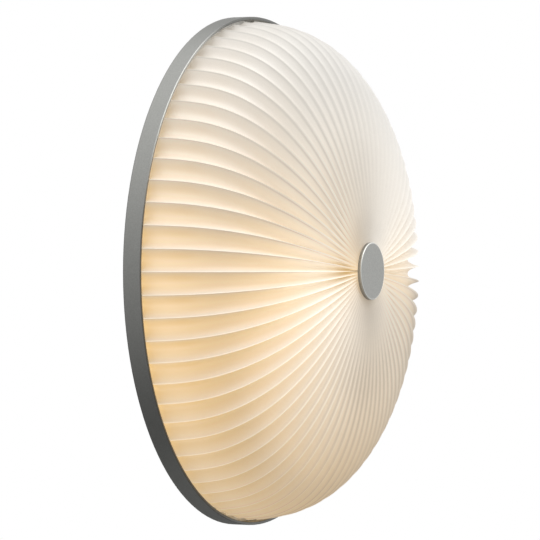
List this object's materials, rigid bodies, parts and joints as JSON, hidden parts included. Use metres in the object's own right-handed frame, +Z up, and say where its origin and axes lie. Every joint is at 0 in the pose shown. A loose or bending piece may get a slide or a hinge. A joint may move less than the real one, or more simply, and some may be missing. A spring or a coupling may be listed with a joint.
{
  "type": "wall light",
  "caption": "Round wall light: a pleated translucent dome in a satin aluminium band, held by a flat aluminium cap in the middle.",
  "frame": {"origin": "centre of the four wall screws, in the plane where the back plate meets the wall", "axes": "+Z up, +Y into the wall; the light faces -Y and +X is to the right of someone who looks at it"},
  "size_m": [0.4499, 0.1281, 0.45],
  "materials": {
    "satin_aluminium": "satin, fine grain",
    "pleated_foil": "translucent satin foil, lit from inside",
    "white_steel": "matt white powder coat",
    "zinc_steel": "zinc plated",
    "brass": "plain",
    "white_plastic": "moulded, matt",
    "rubber": "matt",
    "brown_wire": "silicone insulation",
    "blue_wire": "silicone insulation",
    "green_wire": "silicone insulation, green and yellow",
    "frosted_glass": "frosted, lit",
    "nickel_cap": "nickel plated",
    "black_insulator": "glass insulator with a metal button"
  },
  "bodies": {
    "base": {"wall_plate": "white_steel", "cable_grommet": "rubber", "cord_clamp": "white_plastic", "clamp_screws": "zinc_steel", "terminal_block": "white_plastic", "terminal_barrels": "brass", "terminal_screws": "zinc_steel", "terminal_fixing_screw": "zinc_steel", "earth_stud": "zinc_steel", "earth_tag": "zinc_steel", "earth_nut": "zinc_steel", "stem": "zinc_steel", "stem_nut": "zinc_steel", "lamp_bracket_right": "white_steel", "lamp_bracket_left": "white_steel", "bracket_screws": "zinc_steel", "lampholder_right": "white_plastic", "lampholder_left": "white_plastic", "lampholder_shells": "brass", "lampholder_contacts": "brass", "lampholder_nipples": "zinc_steel", "nipple_nuts": "zinc_steel", "live_wires": "brown_wire", "neutral_wires": "blue_wire", "earth_wire": "green_wire"},
    "shade": {"rim_ring": "satin_aluminium", "shade_carrier": "white_steel", "carrier_screws": "zinc_steel", "spreader_ring": "zinc_steel", "pleated_shade": "pleated_foil", "hub_sleeve": "zinc_steel", "hub_washer": "zinc_steel", "hub_nut": "zinc_steel"},
    "cap": {"centre_cap": "satin_aluminium", "cap_stud": "zinc_steel"},
    "bulb_right": {"bulb_glass_right": "frosted_glass", "bulb_cap_right": "nickel_cap", "bulb_contact_right": "black_insulator"},
    "bulb_left": {"bulb_glass_left": "frosted_glass", "bulb_cap_left": "nickel_cap", "bulb_contact_left": "black_insulator"}
  },
  "joints": [
    {"name": "shade_lift", "type": "slide", "parent": "base", "child": "shade", "axis": [0, -1, 0], "range_m": [0, 0.16]},
    {"name": "cap_turn", "type": "hinge", "parent": "shade", "child": "cap", "pos_m": [0, -0.125, 0], "axis": [0, -1, 0], "continuous": true},
    {"name": "bulb_right_turn", "type": "hinge", "parent": "base", "child": "bulb_right", "pos_m": [0.06, -0.05, 0], "axis": [1, 0, 0], "continuous": true},
    {"name": "bulb_left_turn", "type": "hinge", "parent": "base", "child": "bulb_left", "pos_m": [-0.06, -0.05, 0], "axis": [-1, 0, 0], "continuous": true}
  ]
}
